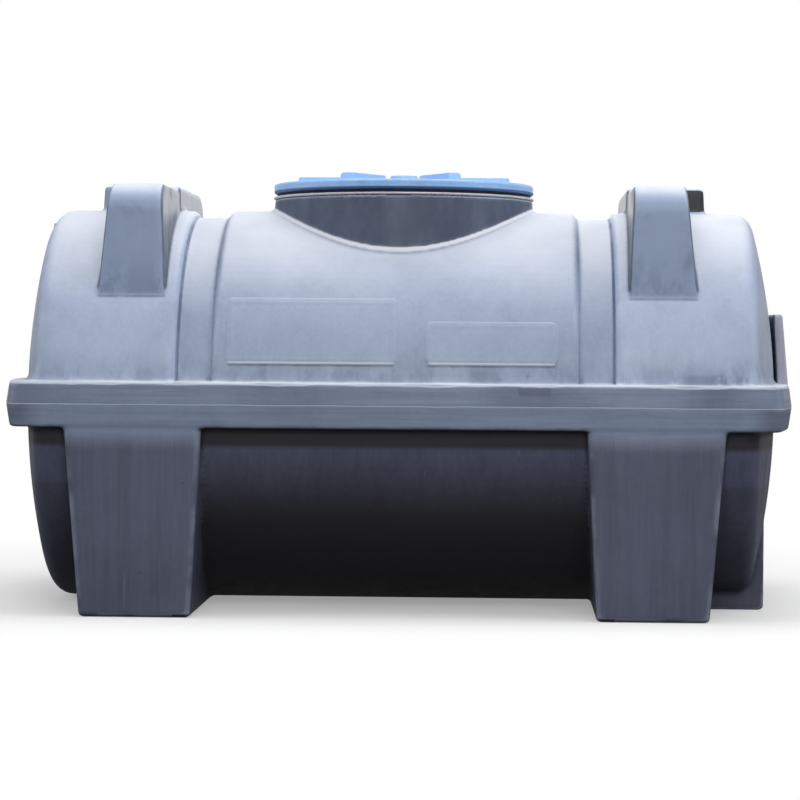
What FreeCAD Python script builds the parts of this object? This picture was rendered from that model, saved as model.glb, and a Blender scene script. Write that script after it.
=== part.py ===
import FreeCAD, Part
import math
import os

# Horizontal water tank of moulded polyethylene, about 1000 litres.
# An oval barrel with dished ends is split by a thick rim at mid height. It stands
# on four feet, has two strap grooves, four top lugs and a manway with a turning lid.
# X runs along the barrel, Y to the back and Z up. The origin is on the ground, at
# the middle of the rim's outline. Lengths are in millimetres.

Vector = FreeCAD.Vector
UP = Vector(0, 0, 1)
SIDES = {"left": -1, "right": 1}

# Barrel and dished ends
barrel_half_width = 460.0
barrel_half_height = 431.0
ground_clearance = 4.0
wall = 8.0
end_reach = 823.0
dish_radius = 1525.0
knuckle_radius = 38.0
dome_depth = 108.0

# Strap grooves in the upper half
centre_band_length = 766.0
groove_width = 76.0
groove_depth = 15.0
band_edge_radius = 14.0

# Rim a little above mid height, centred on the parting line
parting_level = 443.0
rim_height = 96.0
rim_overhang = 35.0
rim_end_overhang = 34.0
rim_end_bow = 54.0
rim_corner_radius = 28.0
rim_draft = 6.5
rim_edge_radius = 6.0

# Feet: their inner faces are measured from the centre band's end, and the split between
# front and rear foot from the barrel's axis
foot_inner_offset_low = 39.0
foot_inner_offset_high = 17.0
foot_front_width_low = 234.0
foot_front_width_high = 288.0
foot_rear_margin = 29.0
foot_setback_low = 15.0
foot_setback_high = 8.0
foot_split_left = 156.0
foot_split_right = -179.0
foot_upright_radius = 12.0
foot_bottom_radius = 9.0

# Top lugs: their inner and outer flanks, at the foot and at the head, are measured from
# the groove. The foot lies below the line where the lug's nose meets the barrel.
lug_inset = 75.0
lug_split = -65.0
lug_front_low = (28.0, 177.0)
lug_front_high = (38.0, 149.0)
lug_front_rise = 44.0
lug_rear_low = (26.0, 222.0)
lug_rear_high = (36.0, 205.0)
lug_rear_rise = 52.0
lug_root = 30.0
lug_nose_radius = 60.0
lug_edge_radius = 8.0
lug_flank_skew = 22.5

# Manway neck, lip and seal
neck_radius = 288.0
neck_wall = 12.0
neck_rise = 26.0
lip_height = 5.0
lip_overhang = 3.0
lip_edge_radius = 2.25
seal_thickness = 6.5
seal_inset = 5.0

# Lid
lid_overhang = 2.0
lid_thickness = 22.0
lid_edge_radius = 6.0
spigot_clearance = 6.0
spigot_wall = 8.0
spigot_depth = 40.0
bar_count = 6
bar_start = 95.0
bar_end = 238.0
bar_width = 36.0
bar_height = 18.0
bar_draft = 4.0
bar_edge_radius = 3.0
hub_radius = 33.0
hub_height = 22.0
hub_draft = 3.0

# Raised panels on the front of the centre band: left edge, right edge, and the heights
# of foot and head as shares of the way from the rim up to the neck's lowest point
panel_thickness = 3.0
panel_corner_radius = 10.0
wide_panel_edges = (-356.0, 4.0, 0.133, 0.638)
narrow_panel_edges = (61.0, 341.0, 0.133, 0.466)

# Tab on the right end of the rim and nub on the left shoulder
tab_width = 220.0
tab_height = 152.0
tab_gap = 1.5
tab_inner_lean = 9.0
tab_outer_lean = 14.0
tab_edge_radius = 6.0
nub_radius = 9.0
nub_drop = 39.0
nub_setback = 60.0
nub_length = 8.0

# Two places closer than this count as one, and an edge shorter than this along an axis
# counts as square to it
match = 0.01
short = 1.0

# Levels and lines that follow from the sizes above
axis_height = ground_clearance + barrel_half_height
barrel_top = axis_height + barrel_half_height
rim_top = parting_level + rim_height / 2
rim_bottom = parting_level - rim_height / 2
rim_front = barrel_half_width + rim_overhang
band_half = centre_band_length / 2
groove_outer = band_half + groove_width
dome_seam = end_reach - dome_depth
rim_end_reach = end_reach + rim_end_overhang
rim_corner_reach = rim_end_reach - rim_end_bow
foot_inner_low = band_half + foot_inner_offset_low
foot_inner_high = band_half + foot_inner_offset_high
foot_front_outer_low = foot_inner_low + foot_front_width_low
foot_front_outer_high = foot_inner_high + foot_front_width_high
foot_rear_outer = end_reach - foot_rear_margin
lug_reach = barrel_half_width - lug_inset
nub_height = barrel_half_height - nub_drop
groove_inset = groove_depth + wall
neck_bore = neck_radius - neck_wall
neck_top = barrel_top + neck_rise
lip_top = neck_top + lip_height
seal_top = lip_top + seal_thickness
lid_radius = neck_radius + lid_overhang
lid_top = seal_top + lid_thickness
far = 2 * (rim_end_reach + rim_front)


def box(x0, x1, y0, y1, z0, z1):
    """A plain box between two corners."""
    return Part.makeBox(x1 - x0, y1 - y0, z1 - z0, Vector(x0, y0, z0))


def slab(z0, z1):
    """Everything between two levels."""
    return box(-far, far, -far, far, z0, z1)


def span(x0, x1):
    """Everything between two stations along the barrel."""
    return box(x0, x1, -far, far, -far, far)


def cylinder(radius, z0, z1):
    """An upright cylinder on the manway's axis."""
    return Part.makeCylinder(radius, z1 - z0, Vector(0, 0, z0), UP)


def ring(outer, inner, z0, z1):
    """An upright ring on the manway's axis."""
    return cylinder(outer, z0, z1).cut(cylinder(inner, z0, z1))


def only_solid(shape):
    """The one solid that a boolean leaves."""
    solids = shape.removeSplitter().Solids
    return solids[0] if len(solids) == 1 else Part.makeCompound(solids)


def oval_points(inset):
    """The ends and middles of the four arcs that make the barrel's section."""
    half_width = barrel_half_width - inset
    half_height = barrel_half_height - inset
    shift = (half_width - half_height) / (2 - math.sqrt(2))
    side = (half_height + shift) / math.sqrt(2)
    rise = side - shift
    return [(side, rise), (0, half_height), (-side, rise), (-half_width, 0),
            (-side, -rise), (0, -half_height), (side, -rise), (half_width, 0)]


def barrel_level(y):
    """The level of the barrel's upper surface at a distance y from its axis."""
    joint, rise = oval_points(0)[0]
    shift = joint - rise
    if abs(y) < joint:
        return axis_height - shift + math.sqrt((barrel_half_height + shift)**2 - y**2)
    return axis_height + math.sqrt((barrel_half_width - shift)**2 - (abs(y) - shift)**2)


def oval_prism(inset, x0, x1):
    """The barrel's section, moved inward by inset, run from x0 to x1."""
    points = [Vector(x0, y, axis_height + z) for y, z in oval_points(inset)]
    points.append(points[0])
    arcs = [Part.Arc(*points[i:i + 3]).toShape() for i in range(0, 8, 2)]
    return Part.Face(Part.Wire(arcs)).extrude(Vector(x1 - x0, 0, 0))


def end_edges(shape, x):
    """The edges that lie in the plane across the barrel at x."""
    return [e for e in shape.Edges if abs(e.BoundBox.XMin - x) < match
            and e.BoundBox.XLength < match]


def tank_form(inset):
    """The whole barrel with its dished ends, closed, moved inward by inset."""
    form = oval_prism(inset, -far, far)
    for side in SIDES.values():
        centre = Vector(side * (end_reach - dish_radius), 0, axis_height)
        ball = Part.makeSphere(dish_radius - inset, centre)
        if side > 0:
            ball.rotate(centre, UP, 180)
        form = form.common(ball)
    rims = [e for e in form.Edges if min(e.BoundBox.YLength, e.BoundBox.ZLength) > short]
    return form.makeFillet(knuckle_radius - inset, rims)


def tapered_block(low, high, z0, z1):
    """A block whose foot and head are rectangles (x0, x1, y0, y1)."""
    wires = []
    for (x0, x1, y0, y1), z in ((low, z0), (high, z1)):
        corners = [Vector(x0, y0, z), Vector(x1, y0, z), Vector(x1, y1, z), Vector(x0, y1, z)]
        wires.append(Part.makePolygon(corners + corners[:1]))
    return Part.makeLoft(wires, True, True)


def mirrored(side, low, high):
    """An extent along X, measured outward from the middle, on one side of the tank."""
    return tuple(sorted((side * low, side * high)))


def upright_edges(shape, keep):
    """The steep edges of a block for which keep(centre) holds."""
    return [e for e in shape.Edges if e.BoundBox.ZLength > 0.5 * shape.BoundBox.ZLength
            and keep(e.CenterOfMass)]


def edges_at_level(shape, z, keep):
    """The edges of a block at one level for which keep(centre) holds."""
    return [e for e in shape.Edges if abs(e.BoundBox.ZMin - z) < match
            and e.BoundBox.ZLength < match and keep(e.CenterOfMass)]


def make_centre_band(bore):
    """The middle of the upper half, between the grooves, with the manway's hole."""
    outer = oval_prism(0, -band_half, band_half)
    ends = end_edges(outer, -band_half) + end_edges(outer, band_half)
    outer = outer.makeFillet(band_edge_radius, ends)
    hollow = oval_prism(wall, -band_half + wall, band_half - wall)
    hollow = hollow.fuse(oval_prism(groove_inset, -band_half, band_half))
    return outer.cut(hollow).cut(bore).common(slab(rim_top, far))


def make_groove(side):
    """The sunk strip that a holding strap lies in."""
    x0, x1 = mirrored(side, band_half, groove_outer)
    strip = oval_prism(groove_depth, x0, x1).cut(oval_prism(groove_inset, x0, x1))
    return strip.common(slab(rim_top, far))


def make_outer_form(side, form):
    """The closed form outside a groove, its edge at the groove rounded."""
    x0, x1 = mirrored(side, groove_outer, far)
    outer = form.common(span(x0, x1))
    return outer.makeFillet(band_edge_radius, end_edges(outer, side * groove_outer))


def make_outer_shell(side, outer, hollow):
    """The upper shell outside a groove, from the groove to the end's apex."""
    x0, x1 = mirrored(side, groove_outer + wall, far)
    ring_x0, ring_x1 = mirrored(side, groove_outer, groove_outer + wall)
    cavity = hollow.common(span(x0, x1)).fuse(oval_prism(groove_inset, ring_x0, ring_x1))
    return outer.cut(cavity).common(slab(rim_top, far))


def make_rim_half(edge_level):
    """Half of the rim, from the parting line to its upper or lower edge."""
    wires = []
    for inset, z in ((0, parting_level), (rim_draft, edge_level)):
        x, y, reach = rim_corner_reach - inset, rim_front - inset, rim_end_reach - inset
        right = Part.Arc(Vector(x, -y, z), Vector(reach, 0, z), Vector(x, y, z)).toShape()
        back = Part.makeLine(Vector(x, y, z), Vector(-x, y, z))
        left = Part.Arc(Vector(-x, y, z), Vector(-reach, 0, z), Vector(-x, -y, z)).toShape()
        front = Part.makeLine(Vector(-x, -y, z), Vector(x, -y, z))
        wires.append(Part.Wire([right, back, left, front]))
    half = Part.makeLoft(wires, True, True)
    half = half.makeFillet(rim_corner_radius, upright_edges(half, lambda c: True))
    return half.makeFillet(rim_edge_radius, edges_at_level(half, edge_level, lambda c: True))


def make_foot(side, front, form):
    """One foot: a block from the ground to the rim, hollowed by the barrel."""
    split = foot_split_left if side < 0 else foot_split_right
    outer_low = foot_front_outer_low if front else foot_rear_outer
    outer_high = foot_front_outer_high if front else foot_rear_outer
    face_low, face_high = rim_front - foot_setback_low, rim_front - foot_setback_high
    depth_low = (-face_low, split) if front else (split, face_low)
    depth_high = (-face_high, split) if front else (split, face_high)
    low = mirrored(side, foot_inner_low, outer_low) + depth_low
    high = mirrored(side, foot_inner_high, outer_high) + depth_high
    block = tapered_block(low, high, 0, rim_bottom)

    def exposed(centre):
        return abs(centre.y - split) > short

    block = block.makeFillet(foot_upright_radius, upright_edges(block, exposed))
    return block.makeFillet(foot_bottom_radius, edges_at_level(block, 0, exposed)).cut(form)


def make_lug(side, front, outer):
    """One half of a top lug, seated on the barrel and rounded over its nose."""
    foot = barrel_level(lug_reach) - lug_root
    head = barrel_top + (lug_front_rise if front else lug_rear_rise)
    low, high = (lug_front_low, lug_front_high) if front else (lug_rear_low, lug_rear_high)
    depth = (-lug_reach, lug_split) if front else (lug_split, lug_reach)
    low_flanks = mirrored(side, groove_outer + low[0], groove_outer + low[1])
    high_flanks = mirrored(side, groove_outer + high[0], groove_outer + high[1])
    block = tapered_block(low_flanks + depth, high_flanks + depth, foot, head)
    end = depth[0] if front else depth[1]
    nose = edges_at_level(block, head, lambda c: abs(c.y - end) < short)
    block = block.makeFillet(lug_nose_radius, nose)

    def along_flank(edge):
        size = edge.BoundBox
        outside = size.YLength > short or abs(edge.CenterOfMass.y - end) < short
        return outside and size.XLength < lug_flank_skew and edge.CenterOfMass.z > foot + short

    flanks = [e for e in block.Edges if along_flank(e)]
    return block.makeFillet(lug_edge_radius, flanks).cut(outer)


def make_neck(form):
    """The manway's neck, seated on the saddle of the barrel."""
    return ring(neck_radius, neck_bore, axis_height, neck_top).cut(form)


def make_lip():
    """The rounded lip around the neck's mouth."""
    lip = ring(neck_radius + lip_overhang, neck_bore, neck_top, lip_top)
    edges = [e for e in lip.Edges if e.Curve.TypeId == "Part::GeomCircle"
             and e.Curve.Radius > neck_radius]
    return lip.makeFillet(lip_edge_radius, edges)


def make_lid_disc():
    """The lid's plate, rounded at its edge."""
    disc = cylinder(lid_radius, seal_top, lid_top)
    edges = [e for e in disc.Edges if e.BoundBox.ZLength < match]
    return disc.makeFillet(lid_edge_radius, edges)


def make_spigot():
    """The ring under the lid that centres it in the neck."""
    outer = neck_bore - spigot_clearance
    return ring(outer, outer - spigot_wall, seal_top - spigot_depth, seal_top)


def make_bar(angle):
    """One raised gripping bar of the lid."""
    half = bar_width / 2
    low = (bar_start, bar_end, -half, half)
    high = (bar_start + bar_draft, bar_end - bar_draft, -half + bar_draft, half - bar_draft)
    bar = tapered_block(low, high, lid_top, lid_top + bar_height)
    edges = [e for e in bar.Edges if e.CenterOfMass.z > lid_top + short]
    bar = bar.makeFillet(bar_edge_radius, edges)
    bar.rotate(Vector(0, 0, 0), UP, angle)
    return bar


def make_hub():
    """The raised hub in the middle of the lid."""
    hub = Part.makeCone(hub_radius, hub_radius - hub_draft, hub_height, Vector(0, 0, lid_top), UP)
    return hub.makeFillet(bar_edge_radius, edges_at_level(hub, lid_top + hub_height, lambda c: True))


def make_panel(edges, form):
    """A raised panel that follows the barrel's front."""
    x0, x1, foot, head = edges
    rise = barrel_level(neck_radius) - rim_top
    window = box(x0, x1, -far, 0, rim_top + foot * rise, rim_top + head * rise)
    corners = [e for e in window.Edges if e.BoundBox.YLength > short]
    window = window.makeFillet(panel_corner_radius, corners)
    return oval_prism(-panel_thickness, x0, x1).common(window).cut(form)


def make_tab():
    """The upright tab that stands on the right end of the rim, clear of the dome."""
    inner = end_reach + tab_gap
    outer = rim_end_reach - rim_draft
    half = tab_width / 2
    low = (inner, outer, -half, half)
    high = (inner - tab_inner_lean, outer - tab_outer_lean, -half, half)
    tab = tapered_block(low, high, rim_top, rim_top + tab_height)
    edges = [e for e in tab.Edges if e.CenterOfMass.z > rim_top + short]
    return tab.makeFillet(tab_edge_radius, edges).cut(tank_form(-tab_gap))


def make_nub(form):
    """The small round nub on the left dome's shoulder."""
    level = axis_height + nub_height
    start = -(end_reach - dish_radius + math.sqrt(dish_radius**2 - nub_height**2 - nub_setback**2))
    tip = Vector(start - nub_length, -nub_setback, level)
    nub = Part.makeCylinder(nub_radius, nub_length + nub_radius, tip, Vector(1, 0, 0))
    return nub.cut(form)


def make_pieces():
    """All pieces of the tank by name."""
    form = tank_form(0)
    hollow = tank_form(wall)
    bore = cylinder(neck_bore, axis_height, far)
    pieces = {"upper_centre_band": make_centre_band(bore)}

    lower = form.cut(hollow).common(slab(-far, rim_bottom))
    pieces["lower_centre_band"] = lower.common(span(-band_half, band_half))
    rim_core = tank_form(groove_inset)
    rim_halves = {"upper": make_rim_half(rim_top).cut(rim_core),
                  "lower": make_rim_half(rim_bottom).cut(rim_core)}
    middle = span(-dome_seam, dome_seam)
    for level, half in rim_halves.items():
        straight = half.common(middle)
        pieces["rim_front_" + level] = straight.common(box(-far, far, -far, 0, -far, far))
        pieces["rim_back_" + level] = straight.common(box(-far, far, 0, far, -far, far))

    for name, side in SIDES.items():
        band = span(*mirrored(side, groove_outer, dome_seam))
        dome = span(*mirrored(side, dome_seam, far))
        outer = make_outer_form(side, form)
        upper = make_outer_shell(side, outer, hollow)
        pieces["strap_groove_" + name] = make_groove(side)
        pieces["upper_band_" + name] = upper.common(band)
        pieces["upper_dome_" + name] = upper.common(dome)
        pieces["lower_band_" + name] = lower.common(span(*mirrored(side, band_half, dome_seam)))
        pieces["lower_dome_" + name] = lower.common(dome)
        for level, half in rim_halves.items():
            pieces["rim_" + name + "_" + level] = half.common(dome)
        for end, front in (("front", True), ("rear", False)):
            pieces["foot_" + end + "_" + name] = make_foot(side, front, form)
            pieces["lug_" + end + "_" + name] = make_lug(side, front, outer)

    pieces["manway_neck"] = make_neck(form)
    pieces["neck_lip"] = make_lip()
    pieces["lid_seal"] = ring(neck_radius - seal_inset, neck_bore, lip_top, seal_top)
    pieces["lid_disc"] = make_lid_disc()
    pieces["lid_spigot"] = make_spigot()
    pieces["lid_hub"] = make_hub()
    for index in range(bar_count):
        pieces["lid_bar_" + str(index + 1)] = make_bar(index * 360.0 / bar_count)
    pieces["wide_panel"] = make_panel(wide_panel_edges, form)
    pieces["narrow_panel"] = make_panel(narrow_panel_edges, form)
    pieces["end_tab"] = make_tab()
    pieces["shoulder_nub"] = make_nub(form)
    return pieces


def main():
    """Writes one STEP file per piece."""
    os.makedirs("parts", exist_ok=True)
    total = 0.0
    for name, shape in make_pieces().items():
        piece = only_solid(shape)
        piece.exportStep("parts/" + name + ".step")
        total += piece.Volume
        size = piece.BoundBox
        print(name, len(piece.Solids), piece.isValid(), round(piece.Volume / 1e6, 2), "litres",
              [round(v) for v in (size.XMin, size.XMax, size.YMin, size.YMax, size.ZMin, size.ZMax)])
    print("solid volume", round(total / 1e9, 4), "m3, hollow", round(tank_form(wall).Volume / 1e6), "litres")


main()
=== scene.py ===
# %% [markdown]
# # A moulded cistern that lies on its side
#
# The real object is one hollow body of grey-blue polyethylene, blown or spun in a
# two-part mould. Its drum is a soft oval, a rim runs round its middle, four feet and
# four lugs grow out of it, and a blue screw lid closes the round manway on top.
# The solid model already holds every size, so this lesson dresses it: it loads the
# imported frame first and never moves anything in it.

# %% Load the frame
import math

import bmesh
import bpy
import numpy as np
from mathutils import Euler, Matrix, Vector, noise


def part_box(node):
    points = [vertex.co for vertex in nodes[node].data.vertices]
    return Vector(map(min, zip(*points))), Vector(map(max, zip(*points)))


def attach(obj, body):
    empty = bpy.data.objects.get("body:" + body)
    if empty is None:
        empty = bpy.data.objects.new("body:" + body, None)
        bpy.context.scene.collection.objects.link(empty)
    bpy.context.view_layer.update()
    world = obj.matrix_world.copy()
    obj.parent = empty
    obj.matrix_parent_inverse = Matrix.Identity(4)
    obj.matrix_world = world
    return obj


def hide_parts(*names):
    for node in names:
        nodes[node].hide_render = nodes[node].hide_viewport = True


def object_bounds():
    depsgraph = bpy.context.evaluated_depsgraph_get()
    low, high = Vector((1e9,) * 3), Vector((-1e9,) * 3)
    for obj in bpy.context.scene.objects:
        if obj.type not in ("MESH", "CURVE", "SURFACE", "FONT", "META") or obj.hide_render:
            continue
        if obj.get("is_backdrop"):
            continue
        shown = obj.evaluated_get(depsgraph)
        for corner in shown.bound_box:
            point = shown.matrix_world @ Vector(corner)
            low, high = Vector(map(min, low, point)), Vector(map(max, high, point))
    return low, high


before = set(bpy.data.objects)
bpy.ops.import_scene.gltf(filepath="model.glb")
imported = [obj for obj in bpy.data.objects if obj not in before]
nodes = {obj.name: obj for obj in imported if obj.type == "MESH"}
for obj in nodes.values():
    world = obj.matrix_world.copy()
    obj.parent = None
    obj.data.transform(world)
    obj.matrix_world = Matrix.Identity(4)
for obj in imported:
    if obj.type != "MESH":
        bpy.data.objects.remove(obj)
cad_low, cad_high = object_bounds()
print("CAD box", [round(v, 4) for v in (*cad_low, *cad_high)], "nodes", len(nodes))

# %% [markdown]
# Every later step needs a few levels of the real tank: where the mould parts, how
# wide the rim stands and where the neck ends. They could be typed in, but then they
# would be wrong after the next change of the solid model. So they are measured.

# %% Measure the levels that the skins share
parting_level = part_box("rim_front_lower")[1].z
rim_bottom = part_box("rim_front_lower")[0].z
rim_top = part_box("rim_front_upper")[1].z
neck_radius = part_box("manway_neck")[1].x
neck_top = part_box("manway_neck")[1].z
barrel_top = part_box("upper_centre_band")[1].z
band_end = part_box("upper_band_right")[1].x
rim_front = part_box("rim_back_upper")[1].y
lug_low, lug_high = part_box("lug_front_right")
groove_inner, groove_outer = (corner.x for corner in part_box("strap_groove_right"))
barrel_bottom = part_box("lower_centre_band")[0].z
axis_level = round((barrel_top + barrel_bottom) / 2, 3)
print("parting", round(parting_level, 4), "rim", round(rim_bottom, 4), round(rim_top, 4))
print("neck", round(neck_radius, 4), round(neck_top, 4))
print("barrel top", round(barrel_top, 4), "axis", axis_level)

# %% [markdown]
# ## Camera
#
# The photograph looks at the long side from six metres away, hardly above the rim,
# with a long lens. A long lens keeps the two ends almost equal in size. The camera is
# turned two degrees, so the inner sides of the feet show.

# %% Place the camera
camera_place = Vector((0.2276, -6.0868, 0.5867))
camera_turn_left = math.radians(2.195)
camera_look_down = math.radians(1.328)
camera_roll = math.radians(0.409)
camera_lens = 122.1

camera_data = bpy.data.cameras.new("camera")
camera_data.lens = camera_lens
camera_data.sensor_width = 36
camera_data.clip_end = 100
camera = bpy.data.objects.new("camera", camera_data)
bpy.context.scene.collection.objects.link(camera)
looking = Euler((math.pi / 2 - camera_look_down, 0, camera_turn_left)).to_matrix().to_4x4()
camera.matrix_world = Matrix.Translation(camera_place) @ looking @ Matrix.Rotation(camera_roll, 4, "Z")
bpy.context.scene.camera = camera
print("camera at", [round(v, 3) for v in camera_place], "lens", camera_lens)

# %% [markdown]
# ## A short way to write shader nodes
#
# A material is a tree of nodes. Written out in full, each node takes four or five
# lines. `place` makes one node, sets its options, and fills its inputs: an input that
# is given another node's socket is linked to it, and any other value is set on it.

# %% Helpers that place one node
def fill(tree, socket, value):
    """Links another node's socket to an input, or sets a plain value on it."""
    if isinstance(value, bpy.types.NodeSocket):
        tree.links.new(value, socket)
    else:
        socket.default_value = value


def place(tree, kind, inputs=None, **options):
    """Adds one node; inputs maps a socket's name or number to a value or a socket."""
    made = tree.nodes.new(kind)
    for option, value in options.items():
        setattr(made, option, value)
    for key, value in (inputs or {}).items():
        fill(tree, made.inputs[key], value)
    return made


def math_node(tree, operation, first, second=0.0, clamp=False):
    """The output of one Math node."""
    inputs = {0: first, 1: second}
    return place(tree, "ShaderNodeMath", inputs, operation=operation, use_clamp=clamp).outputs[0]


def remap(tree, value, low, high, to_low=0.0, to_high=1.0):
    """The output of a smooth Map Range node from low..high to to_low..to_high."""
    inputs = {"Value": value, "From Min": low, "From Max": high, "To Min": to_low, "To Max": to_high}
    made = place(tree, "ShaderNodeMapRange", inputs, interpolation_type="SMOOTHSTEP")
    return made.outputs["Result"]


def mix_colour(tree, share, first, second, blend="MIX"):
    """The colour output of a Mix node: first at share 0, second at share 1."""
    inputs = {0: share, 6: first, 7: second}
    made = place(tree, "ShaderNodeMix", data_type="RGBA", blend_type=blend)
    for number, value in inputs.items():
        fill(tree, made.inputs[number], value)
    return made.outputs[2]


def mix_value(tree, share, first, second):
    """The value output of a Mix node: first at share 0, second at share 1."""
    inputs = {0: share, 2: first, 3: second}
    return place(tree, "ShaderNodeMix", inputs, data_type="FLOAT").outputs[0]


# %% [markdown]
# A mask is a value between 0 and 1 that says where an effect shows. Most are built
# from the same few parts: values multiplied, added up or compared, and a soft band
# about an edge.

# %% Helpers that combine masks
def product(tree, first, *factors):
    """All the factors multiplied; each is a socket or a number."""
    for factor in factors:
        first = math_node(tree, "MULTIPLY", first, factor)
    return first


def total(tree, first, *terms):
    """All the terms added up; each is a socket or a number."""
    for term in terms:
        first = math_node(tree, "ADD", first, term)
    return first


def larger(tree, first, *others):
    """The largest of all the values."""
    for other in others:
        first = math_node(tree, "MAXIMUM", first, other)
    return first


def minus(tree, first, second):
    """The first value less the second."""
    return math_node(tree, "SUBTRACT", first, second)


def unsigned(tree, value):
    """The value without its sign."""
    return math_node(tree, "ABSOLUTE", value)


def band(tree, value, rise, fall):
    """1 between two soft edges; each edge says where the mask is 0 and where it is 1."""
    return product(tree, remap(tree, value, *rise), remap(tree, value, *fall))


# %% [markdown]
# All noise is laid in the tank's own coordinates, in metres, so that it stays on the
# tank and runs on across the cuts between its pieces.

# %% Helpers that know the place
def stretched_place(tree, stretch=(1, 1, 1)):
    """Frame coordinates in metres, stretched along the axes by a vector or a socket."""
    coordinates = place(tree, "ShaderNodeTexCoord").outputs["Object"]
    inputs = {0: coordinates, 1: stretch}
    return place(tree, "ShaderNodeVectorMath", inputs, operation="MULTIPLY").outputs[0]


def noise_value(tree, stretch, scale, detail=2.0, roughness=0.5, distortion=0.0):
    """The grey value of a noise texture; a large stretch makes it short on that axis."""
    inputs = {"Vector": stretched_place(tree, stretch), "Scale": scale, "Detail": detail}
    inputs.update({"Roughness": roughness, "Distortion": distortion})
    return place(tree, "ShaderNodeTexNoise", inputs).outputs["Fac"]


def place_parts(tree):
    """X, Y and Z of the place on the tank, in metres."""
    return place(tree, "ShaderNodeSeparateXYZ", {0: stretched_place(tree)}).outputs


def normal_parts(tree):
    """X, Y and Z of the direction that the surface faces."""
    normal = place(tree, "ShaderNodeNewGeometry").outputs["Normal"]
    return place(tree, "ShaderNodeSeparateXYZ", {0: normal}).outputs


# %% [markdown]
# An effect that several finishes need is built once, as a node group: a small tree
# with named inputs and outputs that each finish places with its own values.

# %% Helpers for node groups
def start_group(name, inputs, outputs):
    """A node group with number or vector inputs; returns the tree, its inputs and outputs."""
    tree = bpy.data.node_groups.new(name, "ShaderNodeTree")
    for title, value in inputs.items():
        kind = "NodeSocketVector" if isinstance(value, tuple) else "NodeSocketFloat"
        tree.interface.new_socket(title, in_out="INPUT", socket_type=kind).default_value = value
    for title in outputs:
        tree.interface.new_socket(title, in_out="OUTPUT", socket_type="NodeSocketFloat")
    print("group", name, "with", len(inputs), "inputs and", len(outputs), "outputs")
    return tree, tree.nodes.new("NodeGroupInput").outputs, tree.nodes.new("NodeGroupOutput").inputs


def hand_out(tree, masks, result):
    """Links every mask to the output of its name."""
    for title, mask in masks.items():
        tree.links.new(mask, result[title])
    print("  gives", ", ".join(masks))


def group_outputs(tree, group, **values):
    """Places a group, fills its inputs and returns its outputs."""
    return place(tree, "ShaderNodeGroup", values, node_tree=group).outputs


# %% [markdown]
# ## Effects that several finishes share
#
# Old moulded polyethylene shows the same few marks everywhere: cloudy patches where
# the plastic cooled unevenly, long fine streaks left by the mould, thin scratches and
# pale rubbed edges. Dark creases are painted shade, and the pale dust on what faces up
# is dust with a painted sheen.

# %% Cloudy patches
cloud_inputs = {"Scale": 4.0, "Low": 0.4, "High": 0.65}
cloud_group, given, result = start_group("Cloudy patches", cloud_inputs, ["Mask"])
clouds = noise_value(cloud_group, (1, 1, 1), given["Scale"], 5.0, 0.55, 0.4)
hand_out(cloud_group, {"Mask": remap(cloud_group, clouds, given["Low"], given["High"])}, result)

# %% Mould streaks
streak_inputs = {"Stretch": (60, 3, 3), "Low": 0.35, "High": 0.7}
streak_group, given, result = start_group("Mould streaks", streak_inputs, ["Mask", "Height"])
streaks = noise_value(streak_group, given["Stretch"], 1.0, 4.0, 0.6)
masks = {"Mask": remap(streak_group, streaks, given["Low"], given["High"]), "Height": streaks}
hand_out(streak_group, masks, result)

# %% Thin scratches
scratch_inputs = {"Stretch": (160, 160, 4), "Low": 0.7, "High": 0.78}
scratch_group, given, result = start_group("Thin scratches", scratch_inputs, ["Mask"])
lines = noise_value(scratch_group, given["Stretch"], 1.0)
on_line = remap(scratch_group, lines, given["Low"], given["High"])
in_area = remap(scratch_group, noise_value(scratch_group, (1, 1, 1), 5.0), 0.45, 0.6)
hand_out(scratch_group, {"Mask": product(scratch_group, on_line, in_area)}, result)

# %% Rubbed edges
edge_inputs = {"Low": 0.506, "High": 0.535, "Scale": 14.0}
edge_group, given, result = start_group("Rubbed edges", edge_inputs, ["Mask"])
sharpness = place(edge_group, "ShaderNodeNewGeometry").outputs["Pointiness"]
edge = remap(edge_group, sharpness, given["Low"], given["High"])
patch = remap(edge_group, noise_value(edge_group, (1, 1, 1), given["Scale"], 3.0), 0.35, 0.6)
hand_out(edge_group, {"Mask": product(edge_group, edge, patch)}, result)

# %% Painted shade in creases
crease_group, given, result = start_group("Painted shade in creases", {"Low": 0.44, "High": 0.488}, ["Mask"])
hollowness = place(crease_group, "ShaderNodeNewGeometry").outputs["Pointiness"]
hand_out(crease_group, {"Mask": remap(crease_group, hollowness, given["High"], given["Low"])}, result)

# %% Settled dust and painted sheen
dust_and_sheen_group, given, result = start_group("Settled dust and painted sheen", {"From": 0.5, "To": 1.0, "Scale": 7.0}, ["Mask"])
upward = remap(dust_and_sheen_group, normal_parts(dust_and_sheen_group)["Z"], given["From"], given["To"])
uneven = remap(dust_and_sheen_group, noise_value(dust_and_sheen_group, (1, 1, 1), given["Scale"], 6.0), 0.25, 0.75, 0.7, 1.0)
hand_out(dust_and_sheen_group, {"Mask": product(dust_and_sheen_group, upward, uneven)}, result)

# %% Moulded grain and pits
grain_inputs = {"Scale": 260.0, "Pit Scale": 7.0, "Pit Size": 0.014}
pit_depth = 0.8

grain_group, given, result = start_group("Moulded grain", grain_inputs, ["Height", "Pits"])
peel = noise_value(grain_group, (1, 1, 1), given["Scale"], 3.0)
cells = place(
    grain_group,
    "ShaderNodeTexVoronoi",
    {"Vector": stretched_place(grain_group), "Scale": given["Pit Scale"], "Randomness": 1.0},
)
pit = math_node(grain_group, "LESS_THAN", cells.outputs["Distance"], given["Pit Size"])
height = total(grain_group, peel, product(grain_group, pit, -pit_depth))
hand_out(grain_group, {"Height": height, "Pits": pit}, result)
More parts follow.
